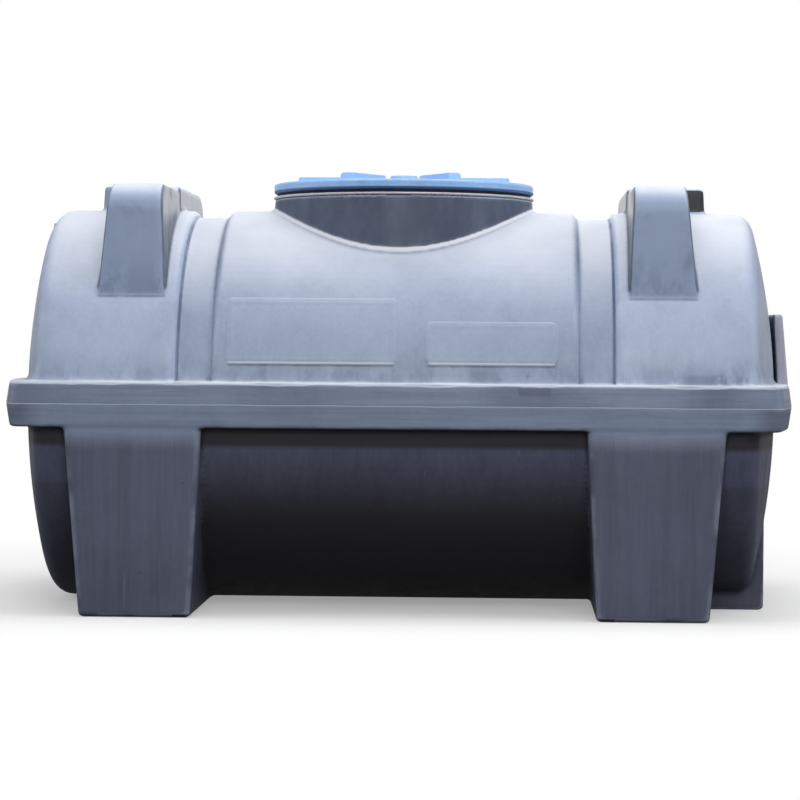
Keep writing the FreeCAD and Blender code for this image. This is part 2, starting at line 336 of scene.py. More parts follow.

# %% [markdown]
# Two groups know where on the tank they are. The first tells the drum above the rim
# from its two ends, from the rim and from what lies below, because each has its own
# shade. The ends are paler and the rim is darker; the lower half is almost black, partly
# in its own tone and partly as painted shade under the rim. A painted image could show
# them too, but it would have to be drawn again for every new mesh. Masks that are
# worked out from the level fit any mesh.

# %% Levels of the tank
groove_lead = 0.004
parting_wander = 0.0006
trim_wander = 0.0045

level_inputs = {
    "Rim Bottom": rim_bottom, "Rim Top": rim_top, "Fade": 0.05, "Ends From": groove_outer - groove_lead,
}
level_outputs = ["Above", "Ends", "Rim Tips", "Below", "Rim", "Rim Underpart", "Parting", "Trim"]

level_group, given, result = start_group("Levels of the tank", level_inputs, level_outputs)
tree = level_group
spot = place_parts(tree)
from_middle = unsigned(tree, spot["X"])
over_top = minus(tree, spot["Z"], given["Rim Top"])
under_bottom = minus(tree, given["Rim Bottom"], spot["Z"])
past_groove = minus(tree, from_middle, given["Ends From"])

above = remap(tree, over_top, -0.002, 0.003)
below = remap(tree, under_bottom, product(tree, given["Fade"], -0.2), given["Fade"])
on_rim = minus(tree, minus(tree, 1.0, above), below)
under_parting = math_node(tree, "LESS_THAN", spot["Z"], parting_level)
rim_low = product(tree, on_rim, under_parting)
at_tip = remap(tree, from_middle, band_end + 0.01, band_end + 0.07)
masks = {
    "Above": above,
    "Ends": remap(tree, past_groove, 0.0, groove_lead),
    "Below": below,
    "Rim": on_rim,
    "Rim Underpart": rim_low,
    "Rim Tips": product(tree, rim_low, at_tip),
}
hand_out(tree, masks, result)

# %% [markdown]
# A fine line runs round the rim where the two halves of the mould met, and a pale
# painted highlight runs along its trimmed upper edge. Neither line is ruled: a little
# noise lets both wander.

# %% The parting line and the trimmed edge
wander = noise_value(tree, (9, 9, 0), 1.0, 4.0)
off_parting = minus(tree, spot["Z"], parting_level)
drift_off = remap(tree, wander, 0.3, 0.7, -parting_wander, parting_wander)
off_parting = unsigned(tree, total(tree, off_parting, drift_off))
from_trim = total(tree, over_top, remap(tree, wander, 0.3, 0.7, 0.0, trim_wander))
masks = {
    "Parting": remap(tree, off_parting, 0.0016, 0.0006),
    "Trim": band(tree, from_trim, (-0.0055, -0.003), (0.001, -0.001)),
}
hand_out(tree, masks, result)

# %% [markdown]
# The second group marks the places that rain and hands leave dirty, and the places
# that get painted shade, with painted light on the neck bead. Some are whole faces,
# some are thin dark lines of painted shade in corners. Most of them are multiplied by
# one shared mottle, so that all the dirt and painted shade on the tank look like one.

# %% Stained and shaded places: what they are measured from
lug_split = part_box("lug_rear_right")[0].y
lug_margin = 0.003

stain_and_shade_inputs = {
    "Lug From": lug_low.x - 0.002, "Lug To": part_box("lug_rear_right")[1].x + lug_margin,
    "Lug Bottom": lug_low.z, "Neck Radius": neck_radius, "Rim Top": rim_top, "Rim Bottom": rim_bottom,
    "Groove From": groove_inner, "Groove To": groove_outer,
}
stain_and_shade_outputs = ["Flanks", "Lugs", "Lug Steps", "Lug Feet", "Neck Foot", "Neck Bead", "Neck"]
stain_and_shade_outputs += ["Painted Shade Lines", "Foot of Drum", "Underside"]

stain_and_shade_group, given, result = start_group("Stained and shaded places", stain_and_shade_inputs, stain_and_shade_outputs)
tree = stain_and_shade_group
spot = place_parts(tree)
facing = normal_parts(tree)
mottle = noise_value(tree, (16, 16, 7), 1.0, 5.0, 0.65)
from_middle = unsigned(tree, spot["X"])
in_front = math_node(tree, "LESS_THAN", spot["Y"], 0.0)
over_bottom = minus(tree, spot["Z"], given["Lug Bottom"])
over_rim = minus(tree, spot["Z"], given["Rim Top"])
under_rim = minus(tree, given["Rim Bottom"], spot["Z"])
high_up = remap(tree, over_bottom, 0.0, 0.006)
upright = remap(tree, unsigned(tree, facing["Z"]), 0.42, 0.32)


def mottled(least):
    """The shared mottle, between a least share and 1."""
    return remap(tree, mottle, 0.3, 0.65, least, 1.0)


# %% [markdown]
# The lugs are a darker blue than the drum, their flanks are darker, partly with grime
# and partly with painted shade on the faces that look sideways, and brush marks of dirt
# stand at their foot. Where the wide rear half of a lug steps out behind the front half
# on the tank's right side, hardly any light gets in, and the step gets painted shade
# that is almost black.

# %% Stains and painted shade on the lugs
past_groove = math_node(tree, "GREATER_THAN", from_middle, given["Lug From"])
before_end = math_node(tree, "LESS_THAN", from_middle, given["Lug To"])
at_lugs = product(tree, past_groove, before_end, high_up)
upright_lugs = product(tree, at_lugs, upright)
sideways = remap(tree, unsigned(tree, facing["X"]), 0.45, 0.8)

beside_front_lug = band(
    tree, from_middle,
    (lug_low.x - lug_margin, lug_low.x + lug_margin), (lug_high.x + lug_margin, lug_high.x - lug_margin),
)
toe = band(tree, over_bottom, (-0.0015, 0.0015), (0.035, 0.022))
before_split = remap(tree, spot["Y"], lug_split - 0.005, lug_split - 0.015)
crown = product(tree, remap(tree, facing["Z"], 0.8, 0.2), before_split, high_up)
front_lug = product(tree, larger(tree, toe, crown), beside_front_lug)

step_face = product(
    tree,
    remap(tree, spot["Y"], lug_split - 0.011, lug_split - 0.005),
    remap(tree, facing["Y"], -0.45, -0.75),
    remap(tree, from_middle, lug_high.x - 0.012, lug_high.x - 0.006, 0.55, 1.0),
    math_node(tree, "GREATER_THAN", spot["X"], 0.0),
)
low_on_lug = remap(tree, over_bottom, 0.11, 0.015)
brushed = remap(tree, mottle, 0.46, 0.54, 0.25, 1.0)
masks = {
    "Flanks": product(tree, sideways, at_lugs, mottled(0.74)),
    "Lugs": larger(tree, upright_lugs, front_lug),
    "Lug Steps": product(tree, upright_lugs, step_face),
    "Lug Feet": product(tree, upright_lugs, low_on_lug, brushed),
}
hand_out(tree, masks, result)

# %% [markdown]
# The neck is almost black, partly with grime and partly with the painted shadow of the
# lid. That ends at the bead round its foot, which gets pale painted light. The distance
# from the neck's axis tells both apart from the drum, whatever its curve.

# %% The neck and its bead
level_place = place(tree, "ShaderNodeCombineXYZ", {0: spot["X"], 1: spot["Y"]})
from_axis = place(tree, "ShaderNodeVectorMath", {0: level_place.outputs[0]}, operation="LENGTH")
past_neck = minus(tree, from_axis.outputs["Value"], given["Neck Radius"])
on_neck = remap(tree, past_neck, 0.0025, 0.0)
on_bead = band(tree, past_neck, (0.0005, 0.002), (0.0072, 0.004))
masks = {
    "Neck": product(tree, on_neck, upright, high_up, mottled(0.86)),
    "Neck Foot": remap(tree, past_neck, 0.035, 0.02),
    "Neck Bead": product(tree, on_bead, high_up),
}
hand_out(tree, masks, result)

# %% [markdown]
# Thin lines of painted shade run along both edges of a strap groove, below the lugs
# and below the two plates. Each line is a band a few millimetres wide about a measured
# edge, and the darkest line wins where two meet.

# %% Painted shade lines in corners
inner_share = 0.55
lug_line_share = 0.7
plate_line_share = 0.75

off_outer = minus(tree, from_middle, given["Groove To"])
off_inner = minus(tree, from_middle, given["Groove From"])
outer_line = band(tree, off_outer, (-0.0066, -0.0045), (0.002, -0.0005))
inner_line = band(tree, off_inner, (-0.002, 0.001), (0.0045, 0.0015))
under_lug = band(tree, over_bottom, (-0.0065, -0.0035), (0.0015, -0.001))
lines = [
    product(tree, inner_line, inner_share),
    product(tree, under_lug, beside_front_lug, lug_line_share),
]
for plate_name in ("wide_panel", "narrow_panel"):
    plate_low, plate_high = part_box(plate_name)
    half = (plate_high.x - plate_low.x) / 2
    off_middle = minus(tree, spot["X"], (plate_low.x + plate_high.x) / 2)
    along = remap(tree, unsigned(tree, off_middle), half - 0.003, half - 0.012)
    over_plate = minus(tree, spot["Z"], plate_low.z)
    under_plate = band(tree, over_plate, (-0.0055, -0.0025), (0.002, 0.0))
    lines.append(product(tree, along, under_plate, in_front, plate_line_share))
line = larger(tree, outer_line, *lines)
not_rim = math_node(tree, "GREATER_THAN", over_rim, 0.0)
hand_out(tree, {"Painted Shade Lines": product(tree, line, not_rim, mottled(0.55))}, result)

# %% [markdown]
# Rain splashes dirt onto the foot of the drum, just above the rim. Two stretches of it
# are blotted darker, and one dark smear sits on the rim itself.

# %% The foot of the drum
blots = ((0.275, 0.085), (0.665, 0.1))
blot_share = 1.5
smear_middle, smear_half = 0.288, 0.034
smear_share = 0.75

low_on_drum = remap(tree, over_rim, 0.075, 0.004)
splashed = remap(tree, mottle, 0.42, 0.62, 0.25, 1.0)
splash = product(tree, low_on_drum, not_rim, splashed)
for blot_middle, blot_reach in blots:
    off_blot = unsigned(tree, minus(tree, spot["X"], blot_middle))
    near_blot = remap(tree, off_blot, blot_reach, blot_reach / 2)
    close_to_rim = remap(tree, over_rim, 0.034, 0.012)
    flecked = remap(tree, mottle, 0.47, 0.56)
    blot = product(tree, near_blot, close_to_rim, flecked, not_rim, blot_share)
    splash = larger(tree, splash, blot)

off_smear = unsigned(tree, minus(tree, spot["X"], smear_middle))
ragged = remap(tree, mottle, 0.3, 0.7, -0.008, 0.008)
off_smear = total(tree, off_smear, ragged)
smear = product(
    tree,
    remap(tree, off_smear, smear_half + 0.003, smear_half - 0.003),
    band(tree, over_rim, (-0.029, -0.021), (-0.006, -0.009)),
    in_front,
    smear_share,
)
hand_out(tree, {"Foot of Drum": larger(tree, splash, smear)}, result)

# %% [markdown]
# Below the rim the drum gets brown-black painted shade where it faces down. Right under
# the rim a band of painted shadow runs along it, and a second, fainter dark band starts
# lower down.

# %% Painted shade on the underside
shelter_depth = 0.022
end_share = 0.08
second_band_share = 0.3

from_front = unsigned(tree, spot["Y"])
in_shelter = math_node(tree, "LESS_THAN", from_front, rim_front - shelter_depth)
below_rim = remap(tree, under_rim, -0.003, 0.003)
at_end = math_node(tree, "GREATER_THAN", from_middle, given["Groove To"])
end_factor = mix_value(tree, at_end, 1.0, end_share)
facing_down = product(tree, remap(tree, facing["Z"], -0.16, -0.62), below_rim, end_factor)
shade = product(tree, remap(tree, under_rim, 0.048, 0.032), in_shelter, below_rim)
second_dark_band = product(tree, remap(tree, under_rim, 0.111, 0.122), in_shelter, second_band_share)
shade = larger(tree, shade, second_dark_band)
hand_out(tree, {"Underside": larger(tree, facing_down, shade)}, result)

# %% [markdown]
# ## Finishes
#
# One recipe serves every piece: a body colour that drifts to a second one in cloudy
# patches, streaks, stains and painted shade that darken it, dust with a painted sheen
# and rubbed edges that lighten it, and a satin gloss that the same masks roughen. Each
# finish calls it with its own values. Colours are linear, so 0.5 shows as a light
# grey, and a share says how strong a mark is.

# %% Two ways to lay a mark on
def darken(tree, colour, mask, share, tint):
    """Multiplies a colour by a tint where the mask is 1."""
    return mix_colour(tree, product(tree, mask, share), colour, tint, "MULTIPLY")


def cover(tree, colour, mask, share, over):
    """Lays a second colour over the first where the mask is 1."""
    return mix_colour(tree, product(tree, mask, share), colour, over)


# %% Marks on every finish
pale_dust_and_sheen = (0.8, 0.83, 0.89, 1)
tints = {
    "smudges": (0.45, 0.46, 0.5, 1),
    "specks": (0.72, 0.74, 0.78, 1),
    "streaks": (0.5, 0.51, 0.54, 1),
    "fine": (0.62, 0.63, 0.66, 1),
    "pits": (0.25, 0.25, 0.27, 1),
}


def scaled(stretch, factor):
    """A stretch with its three numbers multiplied."""
    return tuple(v * factor for v in stretch)


def surface_marks(tree, stretch):
    """The masks that every finish uses, by name."""
    streaks = group_outputs(tree, streak_group, Stretch=stretch)
    fine = group_outputs(tree, streak_group, Stretch=scaled(stretch, 4.3), Low=0.42, High=0.6)
    return {
        "clouds": group_outputs(tree, cloud_group, Scale=3.2, Low=0.36, High=0.66)["Mask"],
        "smudges": group_outputs(tree, cloud_group, Scale=11.0, Low=0.46, High=0.7)["Mask"],
        "specks": group_outputs(tree, cloud_group, Scale=85.0, Low=0.35, High=0.75)["Mask"],
        "streaks": streaks["Mask"],
        "height": streaks["Height"],
        "fine": fine["Mask"],
        "scratches": group_outputs(tree, scratch_group, Stretch=scaled(stretch, 4))["Mask"],
        "dust_and_sheen": group_outputs(tree, dust_and_sheen_group)["Mask"],
    }


print("marks", list(tints))

# %% [markdown]
# The tank is one skin with several shades. The drum's ends are paler than its middle.
# The rim is darker and bluer, and the lower half is almost black, partly in its own tone
# and partly as painted shade under the rim. On the rim the streaks lie level, because
# it was trimmed along its length. Elsewhere they stand upright, the way the rain runs.

# %% Shades of the tank's levels
end_pair = ((0.368, 0.438, 0.592, 1), (0.415, 0.486, 0.64, 1))
rim_pair = ((0.147, 0.188, 0.276, 1), (0.213, 0.262, 0.369, 1))
# The lower half's dark shades are partly its own tone and partly painted shade.
lower_pair = ((0.102, 0.114, 0.175, 1), (0.126, 0.141, 0.21, 1))
rim_underpart = (0.3, 0.368, 0.51, 1)
rim_tip_tint = (0.66, 0.62, 0.64, 1)
rim_stretch = (2.6, 2.6, 80)
streaks_lost_above = 0.6


def shade_levels(tree, colour, marks, levels):
    """Gives the ends, the rim and the lower half their shades, and the rim its streaks."""
    clouds = marks["clouds"]
    colour = mix_colour(tree, levels["Ends"], colour, mix_colour(tree, clouds, *end_pair))
    rim_colour = mix_colour(tree, clouds, *rim_pair)
    rim_colour = mix_colour(tree, levels["Rim Underpart"], rim_colour, rim_underpart)
    rim_colour = darken(tree, rim_colour, levels["Rim Tips"], 1.0, rim_tip_tint)
    colour = mix_colour(tree, levels["Rim"], colour, rim_colour)
    colour = mix_colour(tree, levels["Below"], colour, mix_colour(tree, clouds, *lower_pair))
    along_rim = group_outputs(tree, streak_group, Stretch=rim_stretch)
    rim_marks = {
        "streaks": along_rim["Mask"],
        "height": along_rim["Height"],
        "fine": group_outputs(tree, streak_group, Stretch=scaled(rim_stretch, 2.5))["Mask"],
        "scratches": group_outputs(tree, scratch_group, Stretch=scaled(rim_stretch, 3))["Mask"],
    }
    for title, mask in rim_marks.items():
        marks[title] = mix_value(tree, levels["Rim"], marks[title], mask)
    streaked = total(tree, product(tree, levels["Above"], -streaks_lost_above), 1.0)
    for title in ("streaks", "fine"):
        marks[title] = product(tree, marks[title], streaked)
    return colour


print("rim", rim_pair[0][:3], "ends", end_pair[0][:3], "below", lower_pair[0][:3])

# %% [markdown]
# Stains and painted shade go on last, one over the other, so that they also lie on
# dust and on worn edges. Some only darken what is there. Others are thick enough to
# cover it. Creases get painted shade, except round the foot of the neck, where the bead
# gets painted light instead.

# %% Wear, stains and painted shade of the tank
rubbed_plastic_and_highlight = (0.58, 0.66, 0.78, 1)
lug_pair = ((0.262, 0.346, 0.52, 1), (0.18, 0.224, 0.322, 1))
lug_share = 0.675
crease_tint = (0.22, 0.24, 0.28, 1)
crease_share = 0.75
edge_share = 0.3
line_share = 0.6
# Of these layers, the flanks and the neck are partly grime and partly painted shade, the lug steps, the
# dark lines in corners and the underside are painted shade, and the neck bead is painted light.
stain_and_shade_layers = (
    ("Flanks", cover, 0.9, (0.08, 0.09, 0.117, 1)),
    ("Lug Feet", darken, 0.495, (0.55, 0.58, 0.64, 1)),
    ("Lug Steps", cover, 1.0, (0.022, 0.024, 0.032, 1)),
    ("Neck", cover, 0.9, (0.044, 0.058, 0.098, 1)),
    ("Neck Bead", cover, 0.75, (0.84, 0.84, 0.88, 1)),
    ("Painted Shade Lines", darken, 0.9, (0.22, 0.27, 0.37, 1)),
    ("Underside", cover, 0.9, (0.03, 0.026, 0.029, 1)),
    ("Foot of Drum", darken, 0.54, (0.38, 0.4, 0.45, 1)),
)


def wear_stain_and_shade(tree, colour, marks, levels):
    """Lays rubbed edges, the rim's parting line and painted highlight, stains, painted shade and light, and
    painted shade in creases on the tank.
    """
    edges = group_outputs(tree, edge_group)["Mask"]
    colour = cover(tree, colour, edges, edge_share, rubbed_plastic_and_highlight)
    # The parting line is the plastic's own, and the pale trim line is a painted highlight.
    rim_lines = larger(tree, levels["Parting"], levels["Trim"])
    colour = cover(tree, colour, rim_lines, line_share, rubbed_plastic_and_highlight)
    stain_and_shade_masks = group_outputs(tree, stain_and_shade_group)
    lug_colour = mix_colour(tree, marks["smudges"], *lug_pair)
    colour = cover(tree, colour, stain_and_shade_masks["Lugs"], lug_share, lug_colour)
    for title, lay_on, share, tint in stain_and_shade_layers:
        colour = lay_on(tree, colour, stain_and_shade_masks[title], share, tint)
    # Creases get painted shade.
    creases = group_outputs(tree, crease_group)["Mask"]
    creases = math_node(tree, "SUBTRACT", creases, stain_and_shade_masks["Neck Foot"], clamp=True)
    return darken(tree, colour, creases, crease_share, crease_tint)


print("stain_and_shade_masks", [title for title, *_ in stain_and_shade_layers])

# %% [markdown]
# Colour is only half of a finish. Dust, streaks and smudges also take the gloss away,
# and grain, streaks, scratches and the parting line catch the light. Both come from
# the masks that the colour used, so what looks dusty is matt as well.

# %% Gloss and relief
relief = 0.00025
streak_relief, scratch_relief, parting_relief = 0.8, -0.3, 2.0
dust_matt, streak_matt, smudge_matt = 0.22, 0.08, 0.1


def satin_shader(tree, colour, marks, heights, roughness, specular):
    """A shader with the colour, roughened by the marks, with the heights as its relief."""
    matt = total(
        tree,
        product(tree, marks["dust_and_sheen"], dust_matt),
        product(tree, marks["streaks"], streak_matt),
        product(tree, marks["smudges"], smudge_matt),
        roughness,
    )
    height = total(tree, *heights)
    bump = place(tree, "ShaderNodeBump", {"Strength": 1.0, "Distance": relief, "Height": height})
    values = {"Base Color": colour, "Roughness": matt, "Normal": bump.outputs["Normal"]}
    values.update({"IOR": 1.5, "Specular IOR Level": specular})
    shader = place(tree, "ShaderNodeBsdfPrincipled", values)
    place(tree, "ShaderNodeOutputMaterial", {"Surface": shader.outputs["BSDF"]})


print("relief", relief * 1000, "mm")

# %% [markdown]
# The recipe itself puts the marks together. It also knows two small extras: a line
# along a piece's lower edge, painted shade under the lid and a painted highlight at the
# foot of a plate, and painted shade on the tab's left side, which stands close to the
# drum and gets no light there.

# %% The recipe for moulded plastic
smudges_per_streak, fine_per_streak = 0.55, 0.9
speck_share, pit_share = 0.2, 0.5
low_edge_share = 0.85
low_edge_soft = 0.0015
shelter_share = 0.85
shelter_colour = (0.03, 0.04, 0.06, 1)


def moulded_plastic(
    name,
    body,
    drift,
    streak_stretch,
    on_tank=False,
    streak_share=0.3,
    dust_and_sheen_share=0.5,
    scratch_share=0.25,
    roughness=0.38,
    specular=0.5,
    dust_and_sheen_colour=pale_dust_and_sheen,
    low_edge=None,
    sheltered_side=False,
):
    """A satin polyethylene; low_edge is a level and the colour of the line up to it."""
    material = bpy.data.materials.new(name)
    material.use_nodes = True
    tree = material.node_tree
    tree.nodes.clear()
    marks = surface_marks(tree, streak_stretch)
    grain = group_outputs(tree, grain_group)

    colour = mix_colour(tree, marks["clouds"], body, drift)
    if on_tank:
        levels = group_outputs(tree, level_group)
        colour = shade_levels(tree, colour, marks, levels)
    shares = {
        "smudges": smudges_per_streak * streak_share,
        "specks": speck_share,
        "streaks": streak_share,
        "fine": fine_per_streak * streak_share,
    }
    for title, share in shares.items():
        colour = darken(tree, colour, marks[title], share, tints[title])
    # What faces up is lightened, partly by real dust and partly by a painted sheen.
    colour = cover(tree, colour, marks["dust_and_sheen"], dust_and_sheen_share, dust_and_sheen_colour)
    colour = cover(tree, colour, marks["scratches"], scratch_share, dust_and_sheen_colour)
    if on_tank:
        colour = wear_stain_and_shade(tree, colour, marks, levels)
    if sheltered_side:
        looks_left = remap(tree, normal_parts(tree)["X"], -0.4, -0.75)
        colour = cover(tree, colour, looks_left, shelter_share, shelter_colour)
    # The line along the lower edge is painted light: a highlight at the foot of a plate, shade under the
    # lid.
    if low_edge:
        level, line_colour = low_edge
        in_line = remap(tree, place_parts(tree)["Z"], level + low_edge_soft, level - low_edge_soft)
        colour = cover(tree, colour, in_line, low_edge_share, line_colour)
    colour = darken(tree, colour, grain["Pits"], pit_share, tints["pits"])

    heights = [
        grain["Height"],
        product(tree, marks["height"], streak_relief),
        product(tree, marks["scratches"], scratch_relief),
    ]
    if on_tank:
        heights.append(product(tree, levels["Parting"], parting_relief))
    satin_shader(tree, colour, marks, heights, roughness, specular)
    print("finish", name, "with", len(tree.nodes), "nodes")
    return material


# %% [markdown]
# With the recipe in place, a finish is a few values. The tank, its plates and its tab
# are duller than the lid, so they take less of the even reflection. The drum's streaks
# are short across and long upright, as their stretch says: 34, 34 and 1.2.

# %% The finishes of this tank
dull = 0.3
upright_streaks = (34, 34, 1.2)
# The plate's lower line is a painted highlight, and the lid's is painted shade.
plate_low_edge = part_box("wide_panel")[0].z + 0.0055
lid_low_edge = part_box("lid_disc")[0].z + 0.0062

tank_finish = moulded_plastic(
    "grey blue polyethylene", (0.31, 0.372, 0.507, 1), (0.35, 0.413, 0.55, 1), upright_streaks,
    on_tank=True, streak_share=0.26, dust_and_sheen_share=0.8, scratch_share=0.1, specular=dull,
)
panel_finish = moulded_plastic(
    "grey blue plate", (0.32, 0.384, 0.522, 1), (0.35, 0.415, 0.552, 1), upright_streaks,
    streak_share=0.1, scratch_share=0.05, specular=dull,
    low_edge=(plate_low_edge, (0.86, 0.9, 0.96, 1)),
)
tab_finish = moulded_plastic(
    "pale end tab", (0.47, 0.47, 0.56, 1), (0.56, 0.55, 0.64, 1), (60, 60, 3),
    dust_and_sheen_share=0.6, specular=dull, sheltered_side=True,
)
liner_finish = moulded_plastic(
    "grey blue inside", (0.24, 0.29, 0.385, 1), (0.29, 0.34, 0.44, 1), (4, 4, 4),
    dust_and_sheen_share=0.0, roughness=0.45,
)
lip_finish = moulded_plastic(
    "pale neck lip", (0.56, 0.56, 0.61, 1), (0.64, 0.64, 0.69, 1), (30, 30, 4),
    dust_and_sheen_share=0.4,
)
lid_finish = moulded_plastic(
    "blue lid", (0.3, 0.53, 0.92, 1), (0.33, 0.57, 0.94, 1), (14, 14, 30),
    streak_share=0.18, dust_and_sheen_share=0.3, roughness=0.33, dust_and_sheen_colour=(0.48, 0.61, 0.78, 1),
    low_edge=(lid_low_edge, (0.02, 0.06, 0.22, 1)),
)
seal_finish = moulded_plastic(
    "black rubber seal", (0.006, 0.009, 0.022, 1), (0.01, 0.014, 0.03, 1), (20, 20, 60),
    dust_and_sheen_share=0.05, scratch_share=0.06, roughness=0.6, specular=0.25, dust_and_sheen_colour=(0.1, 0.11, 0.14, 1),
)

# %% [markdown]
# ## From separate solids to one moulded skin
#
# The solid model is made of many closed pieces that meet at hard lines, as a drawing
# is. The real tank has no such lines: plastic flows round every corner in one soft
# surface. Bevelling each join would be fragile where curved forms cross. Instead the
# pieces are poured together: a voxel remesh melts the touching solids into one skin,
# and a few rounds of smoothing give every inner corner the fillet of a mould.

# %% Helpers for meshes
def mesh_object(name, bm):
    """Turns a bmesh into a linked object and frees the bmesh."""
    mesh = bpy.data.meshes.new(name)
    bm.to_mesh(mesh)
    bm.free()
    made = bpy.data.objects.new(name, mesh)
    bpy.context.scene.collection.objects.link(made)
    return made


def gathered(node_names):
    """One bmesh with the meshes of several CAD nodes."""
    bm = bmesh.new()
    for node_name in node_names:
        bm.from_mesh(nodes[node_name].data)
    return bm


def rows(items, title):
    """A vector property of all the items of a mesh, as rows of x, y and z."""
    flat = np.empty(len(items) * 3, np.float32)
    items.foreach_get(title, flat)
    return flat.reshape(-1, 3)


# %% Helpers that melt and smooth
def evaluated_mesh(obj):
    """A new mesh with the object's modifiers or curve settings carried out."""
    return bpy.data.meshes.new_from_object(obj.evaluated_get(bpy.context.evaluated_depsgraph_get()))


def melt(obj, size):
    """Adds a voxel remesh to the object."""
    remesh = obj.modifiers.new("melt", "REMESH")
    remesh.mode = "VOXEL"
    remesh.voxel_size = size


def soften(obj, rounds, vertex_group=""):
    """Adds rounds of smoothing, on the whole object or on one vertex group."""
    smooth = obj.modifiers.new("soften", "SMOOTH")
    smooth.factor = 0.5
    smooth.iterations = rounds
    smooth.vertex_group = vertex_group


def baked(obj):
    """Applies the object's modifiers to its mesh."""
    shape = evaluated_mesh(obj)
    obj.modifiers.clear()
    obj.data = shape
    return obj


def smooth_faces(obj):
    """Smooth shading on every face."""
    obj.data.polygons.foreach_set("use_smooth", [True] * len(obj.data.polygons))
    return obj


# %% [markdown]
# Where the neck leaves the drum, the mould left a soft bead. It follows the saddle
# where a cylinder meets the oval drum, so its height comes from the drum's section:
# near the crown that is a circle about a point below the axis. The bead is poured in
# with the rest, so it swells out of both surfaces.

# %% Lay the bead round the neck
crown_radius = 0.4805
crown_centre = barrel_top - crown_radius
bead_radius = 0.0055
bead_steps = 160

bead_curve = bpy.data.curves.new("neck_bead", "CURVE")
bead_curve.dimensions = "3D"
bead_curve.bevel_depth = bead_radius
loop = bead_curve.splines.new("NURBS")
loop.points.add(bead_steps - 1)
for step, point in enumerate(loop.points):
    turn = 2 * math.pi * step / bead_steps
    x = neck_radius * math.cos(turn)
    y = neck_radius * math.sin(turn)
    point.co = (x, y, crown_centre + math.sqrt(crown_radius**2 - y * y), 1)
loop.use_cyclic_u = True
loop.order_u = 3
bead = bpy.data.objects.new("neck_bead", bead_curve)
bpy.context.scene.collection.objects.link(bead)
bead_mesh = evaluated_mesh(bead)
bpy.data.objects.remove(bead)
print("bead", len(bead_mesh.vertices), "vertices")

# %% Gather the whole tank
sides = ("left", "right")
feet = [f"foot_{row}_{side}" for row in ("front", "rear") for side in sides]
lugs = [f"lug_{row}_{side}" for row in ("front", "rear") for side in sides]
upper_nodes = ["upper_centre_band", "manway_neck", "shoulder_nub"]
upper_nodes += [f"{part}_{side}" for part in ("upper_band", "upper_dome", "strap_groove") for side in sides]
upper_nodes += lugs + [f"rim_{stretch}_upper" for stretch in ("front", "back", *sides)]
lower_nodes = ["lower_centre_band"]
lower_nodes += [f"{part}_{side}" for part in ("lower_band", "lower_dome") for side in sides]
lower_nodes += feet + [f"rim_{stretch}_lower" for stretch in ("front", "back", *sides)]
plug_radius = neck_radius - 0.006
plug_height = 0.2

tank_mesh = gathered(upper_nodes + lower_nodes)
tank_mesh.from_mesh(bead_mesh)
bmesh.ops.create_cone(
    tank_mesh, cap_ends=True, segments=96, radius1=plug_radius, radius2=plug_radius, depth=plug_height,
    matrix=Matrix.Translation((0, 0, neck_top - plug_height / 2)),
)
print("gathered", len(upper_nodes + lower_nodes), "solids,", len(tank_mesh.faces), "faces")

# %% [markdown]
# Smoothing is a trade. Many rounds take the faint steps of the voxels out of the open
# drum, but they would also melt the edges of the lugs, the feet and the strap grooves,
# which are crisp on the real tank. So every vertex gets one round, and only those on
# open surface, away from all of these, get more.

# %% Find the open surface
open_margin = 0.014
saddle_depth = 0.11


def open_surface(places):
    """True for the places that no edge of a foot, lug, groove, neck or rim is near."""
    x, y, z = np.abs(places[:, 0]), places[:, 1], places[:, 2]
    near = (z > rim_bottom - open_margin) & (z < rim_top + open_margin)
    for edge_line in (groove_inner, groove_outer):
        near |= (np.abs(x - edge_line) < open_margin) & (z > rim_top)
    near |= (np.abs(np.hypot(x, y) - neck_radius) < open_margin) & (z > barrel_top - saddle_depth)
    for node_name in (*feet, *lugs, "shoulder_nub"):
        low, high = (np.array(corner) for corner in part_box(node_name))
        near |= ((places > low - open_margin) & (places < high + open_margin)).all(axis=1)
    return ~near


# %% Melt it
voxel = 0.0048
all_rounds = 1
open_rounds = 7

body = mesh_object("body", tank_mesh)
melt(body, voxel)
baked(body)
is_open = open_surface(rows(body.data.vertices, "co"))
body.vertex_groups.new(name="open").add(np.flatnonzero(is_open).tolist(), 1.0, "REPLACE")
soften(body, all_rounds)
soften(body, open_rounds, "open")
baked(body)
print("melted", len(body.data.vertices), "vertices,", int(is_open.sum()), "on open surface")

# %% [markdown]
# The melted body still has the inner side of the walls and the plug in the neck. Only
# its outer side is kept. The trimmed upper edge of the rim wanders by a millimetre, as
# cut plastic does, so its vertices are nudged by smooth noise.

# %% Keep the outer side
trim_wave = 0.0014
trim_band = 0.01
trim_depth = 0.012
trim_end = 0.79
waves_per_metre = 11
wave_offset = 0.35


def keep_widest_part(bm):
    """Deletes every part of the bmesh that isn't joined to its widest part."""
    seed = max(bm.verts, key=lambda v: v.co.x)
    keep = {seed}
    front = [seed]
    while front:
        vert = front.pop()
        for edge in vert.link_edges:
            other = edge.other_vert(vert)
            if other not in keep:
                keep.add(other)
                front.append(other)
    bmesh.ops.delete(bm, geom=[v for v in bm.verts if v not in keep], context="VERTS")


outer = bmesh.new()
outer.from_mesh(body.data)
keep_widest_part(outer)
for vert in outer.verts:
    x, y, z = vert.co
    outside = abs(y) > rim_front - trim_depth or abs(x) > trim_end
    if outside and abs(z - rim_top) < trim_band:
        near_edge = 1 - abs(z - rim_top) / trim_band
        wave = noise.noise(Vector((x * waves_per_metre, y * waves_per_metre, 4.0))) - wave_offset
        vert.co.z += near_edge * trim_wave * wave
    vert.co = Vector(max(low, min(high, v)) for low, high, v in zip(cad_low, cad_high, vert.co))
outer.to_mesh(body.data)
outer.free()
print("outer side", len(body.data.polygons), "faces")

